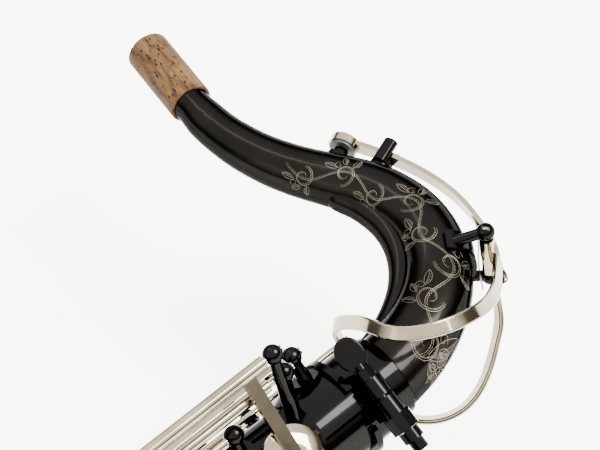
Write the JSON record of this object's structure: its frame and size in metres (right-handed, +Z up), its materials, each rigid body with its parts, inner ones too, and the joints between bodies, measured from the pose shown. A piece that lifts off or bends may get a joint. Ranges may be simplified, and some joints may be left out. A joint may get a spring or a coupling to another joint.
{
  "type": "tenor saxophone",
  "caption": "Tenor saxophone with a curved neck, corked mouthpiece end, octave key, flared bell, U-shaped bow and sprung keys on hinge rods, lying on its side.",
  "frame": {"origin": "bottom centre of the whole instrument's box, on the surface it lies on", "axes": "+X along the main tube towards the neck, +Y towards the player's side, +Z up, to the player's right"},
  "size_m": [0.7324, 0.3744, 0.158],
  "materials": {
    "black_nickel": "polished black nickel plate over brass",
    "nickel": "polished warm nickel silver",
    "steel": "polished steel",
    "cork": "bare cork sheet",
    "pad": "dark leather or rubber pad",
    "pad_leather": "tan kidskin pad",
    "pearl": "mother of pearl",
    "engraving": "cut through the plating to bright metal",
    "felt": "pressed felt"
  },
  "bodies": {
    "body": {"body_tube": "black_nickel", "bell": "black_nickel", "bow": "black_nickel", "body_bow_ring": "black_nickel", "bow_bell_ring": "black_nickel", "bow_guard": "black_nickel", "bell_brace": "black_nickel", "neck_receiver": "black_nickel", "receiver_band": "black_nickel", "body_posts": "black_nickel", "bell_posts": "black_nickel", "bow_post": "black_nickel", "hinge_rods": "steel", "bell_hinge_rods": "steel", "bell_key_guard": "black_nickel", "bell_guard_felts": "felt", "low_c_guard": "black_nickel", "low_c_felt": "felt", "strap_ring": "black_nickel", "thumb_hook": "black_nickel", "thumb_rest": "black_nickel"},
    "neck": {"neck_tube": "black_nickel", "neck_collar": "black_nickel", "neck_brace": "black_nickel", "neck_cork": "cork", "octave_pip": "black_nickel", "octave_saddle": "black_nickel", "octave_hinge_rod": "steel", "octave_guide": "black_nickel"},
    "neck_octave": {"neck_octave_key": "nickel", "octave_pad": "pad", "octave_spring": "steel"},
    "clamp_screw": {"clamp_screw": "black_nickel"},
    "lyre_screw": {"lyre_screw": "black_nickel"},
    "octave_lever": {"octave_lever": "nickel"},
    "high_key": {"high_key": "nickel"},
    "side_e_key": {"side_e_key": "nickel"},
    "side_bb_key": {"side_bb_key": "nickel"},
    "side_c_key": {"side_c_key": "nickel"},
    "body_octave_key": {"body_octave_key": "nickel"},
    "palm_f_key": {"palm_f_key": "nickel"},
    "palm_eb_key": {"palm_eb_key": "nickel"},
    "palm_d_key": {"palm_d_key": "nickel"},
    "upper_c_key": {"upper_c_key": "nickel"},
    "b_key": {"b_key": "nickel"},
    "a_key": {"a_key": "nickel"},
    "g_key": {"g_key": "nickel"},
    "g_sharp_key": {"g_sharp_key": "nickel"},
    "f_sharp_key": {"f_sharp_key": "nickel"},
    "f_key": {"f_key": "nickel"},
    "e_key": {"e_key": "nickel"},
    "d_key": {"d_key": "nickel"},
    "low_eb_key": {"low_eb_key": "nickel"},
    "low_b_key": {"low_b_key": "nickel"},
    "low_bb_key": {"low_bb_key": "nickel"},
    "low_cs_key": {"low_cs_key": "nickel"},
    "low_c_key": {"low_c_key": "nickel"}
  },
  "joints": [
    {"name": "neck_swivel", "type": "hinge", "parent": "body", "child": "neck", "pos_m": [0.28996, 0.01299, 0.079], "axis": [1, 0, 0], "range_deg": [-5.5, 5.5]},
    {"name": "neck_octave_turn", "type": "hinge", "parent": "neck", "child": "neck_octave", "pos_m": [0.35596, 0.02499, 0.079], "axis": [0, 0, -1], "range_deg": [0, 2.95], "stiffness_Nm_per_rad": 0.25, "springref_deg": -20.05},
    {"name": "octave_lever_turn", "type": "hinge", "parent": "body", "child": "octave_lever", "pos_m": [0.25316, 0.03739, 0.0701], "axis": [-1, 0, 0], "range_deg": [0, 4.2], "stiffness_Nm_per_rad": 0.1, "springref_deg": -22.92},
    {"name": "clamp_screw_turn", "type": "hinge", "parent": "body", "child": "clamp_screw", "pos_m": [0.28496, 0.00076, 0.09753], "axis": [0, 0.8348, 0.5505], "continuous": true},
    {"name": "lyre_screw_turn", "type": "hinge", "parent": "body", "child": "lyre_screw", "pos_m": [0.28496, -0.01301, 0.08845], "axis": [0, 0.8348, 0.5505], "continuous": true},
    {"name": "high_key_turn", "type": "hinge", "parent": "body", "child": "high_key", "pos_m": [0.28996, 0.01998, 0.122], "axis": [-1, 0, 0], "range_deg": [0, 7], "stiffness_Nm_per_rad": 0.08, "springref_deg": -34.38},
    {"name": "side_e_key_turn", "type": "hinge", "parent": "body", "child": "side_e_key", "pos_m": [0.28996, 0.01878, 0.111], "axis": [-1, 0, 0], "range_deg": [0, 6], "stiffness_Nm_per_rad": 0.08, "springref_deg": -34.38},
    {"name": "side_bb_key_turn", "type": "hinge", "parent": "body", "child": "side_bb_key", "pos_m": [0.28996, 0.01878, 0.111], "axis": [-1, 0, 0], "range_deg": [0, 6], "stiffness_Nm_per_rad": 0.08, "springref_deg": -34.38},
    {"name": "side_c_key_turn", "type": "hinge", "parent": "body", "child": "side_c_key", "pos_m": [0.28996, 0.01598, 0.1043], "axis": [-1, 0, 0], "range_deg": [0, 6], "stiffness_Nm_per_rad": 0.08, "springref_deg": -34.38},
    {"name": "body_octave_key_turn", "type": "hinge", "parent": "body", "child": "body_octave_key", "pos_m": [0.28996, 0.02769, 0.101], "axis": [1, 0, 0], "range_deg": [0, 6], "stiffness_Nm_per_rad": 0.08, "springref_deg": -34.38},
    {"name": "palm_f_key_turn", "type": "hinge", "parent": "body", "child": "palm_f_key", "pos_m": [0.28996, 0.03739, 0.0701], "axis": [1, 0, 0], "range_deg": [0, 7], "stiffness_Nm_per_rad": 0.08, "springref_deg": -34.38},
    {"name": "palm_eb_key_turn", "type": "hinge", "parent": "body", "child": "palm_eb_key", "pos_m": [0.28996, 0.03739, 0.0701], "axis": [1, 0, 0], "range_deg": [0, 7], "stiffness_Nm_per_rad": 0.08, "springref_deg": -34.38},
    {"name": "palm_d_key_turn", "type": "hinge", "parent": "body", "child": "palm_d_key", "pos_m": [0.28996, 0.03739, 0.0701], "axis": [1, 0, 0], "range_deg": [0, 7], "stiffness_Nm_per_rad": 0.08, "springref_deg": -34.38},
    {"name": "upper_c_key_turn", "type": "hinge", "parent": "body", "child": "upper_c_key", "pos_m": [0.28996, -0.01401, 0.0995], "axis": [-1, 0, 0], "range_deg": [-7, 0], "stiffness_Nm_per_rad": 0.08, "springref_deg": 34.38},
    {"name": "b_key_turn", "type": "hinge", "parent": "body", "child": "b_key", "pos_m": [0.28996, -0.01401, 0.0995], "axis": [-1, 0, 0], "range_deg": [-7, 0], "stiffness_Nm_per_rad": 0.08, "springref_deg": 34.38},
    {"name": "a_key_turn", "type": "hinge", "parent": "body", "child": "a_key", "pos_m": [0.28996, -0.01401, 0.0995], "axis": [-1, 0, 0], "range_deg": [-7, 0], "stiffness_Nm_per_rad": 0.08, "springref_deg": 34.38},
    {"name": "g_key_turn", "type": "hinge", "parent": "body", "child": "g_key", "pos_m": [0.28996, -0.01401, 0.0995], "axis": [-1, 0, 0], "range_deg": [-7, 0], "stiffness_Nm_per_rad": 0.08, "springref_deg": 34.38},
    {"name": "g_sharp_key_turn", "type": "hinge", "parent": "body", "child": "g_sharp_key", "pos_m": [0.28996, -0.01871, 0.0642], "axis": [-1, 0, 0], "range_deg": [0, 7], "stiffness_Nm_per_rad": 0.08, "springref_deg": -34.38},
    {"name": "f_sharp_key_turn", "type": "hinge", "parent": "body", "child": "f_sharp_key", "pos_m": [0.28996, -0.01902, 0.104], "axis": [-1, 0, 0], "range_deg": [-7, 0], "stiffness_Nm_per_rad": 0.08, "springref_deg": 34.38},
    {"name": "f_key_turn", "type": "hinge", "parent": "body", "child": "f_key", "pos_m": [0.28996, -0.01902, 0.104], "axis": [-1, 0, 0], "range_deg": [-7, 0], "stiffness_Nm_per_rad": 0.08, "springref_deg": 34.38},
    {"name": "e_key_turn", "type": "hinge", "parent": "body", "child": "e_key", "pos_m": [0.28996, -0.01902, 0.104], "axis": [-1, 0, 0], "range_deg": [-7, 0], "stiffness_Nm_per_rad": 0.08, "springref_deg": 34.38},
    {"name": "d_key_turn", "type": "hinge", "parent": "body", "child": "d_key", "pos_m": [0.28996, -0.01902, 0.104], "axis": [-1, 0, 0], "range_deg": [-7, 0], "stiffness_Nm_per_rad": 0.08, "springref_deg": 34.38},
    {"name": "low_eb_key_turn", "type": "hinge", "parent": "body", "child": "low_eb_key", "pos_m": [0.28996, 0.03399, 0.114], "axis": [-1, 0, 0], "range_deg": [0, 7], "stiffness_Nm_per_rad": 0.15, "springref_deg": -34.38},
    {"name": "low_b_key_turn", "type": "hinge", "parent": "body", "child": "low_b_key", "pos_m": [-0.2809, -0.05299, 0.123], "axis": [-0.9981, 0.061, 0], "range_deg": [-7, 0], "stiffness_Nm_per_rad": 0.15, "springref_deg": 34.38},
    {"name": "low_bb_key_turn", "type": "hinge", "parent": "body", "child": "low_bb_key", "pos_m": [-0.28132, -0.05998, 0.127], "axis": [-0.9981, 0.061, 0], "range_deg": [-7, 0], "stiffness_Nm_per_rad": 0.15, "springref_deg": 34.38},
    {"name": "low_cs_key_turn", "type": "hinge", "parent": "body", "child": "low_cs_key", "pos_m": [-0.28151, -0.06297, 0.033], "axis": [0.9981, -0.061, 0], "range_deg": [-7, 0], "stiffness_Nm_per_rad": 0.15, "springref_deg": 34.38},
    {"name": "low_c_key_turn", "type": "hinge", "parent": "body", "child": "low_c_key", "pos_m": [0.28996, 0.00098, 0.123], "axis": [-1, 0, 0], "range_deg": [-6, 0], "stiffness_Nm_per_rad": 0.15, "springref_deg": 34.38}
  ],
  "couplings": [
    {"joint": "neck_octave_turn", "follows": "octave_lever_turn", "ratio": 0.66}
  ]
}
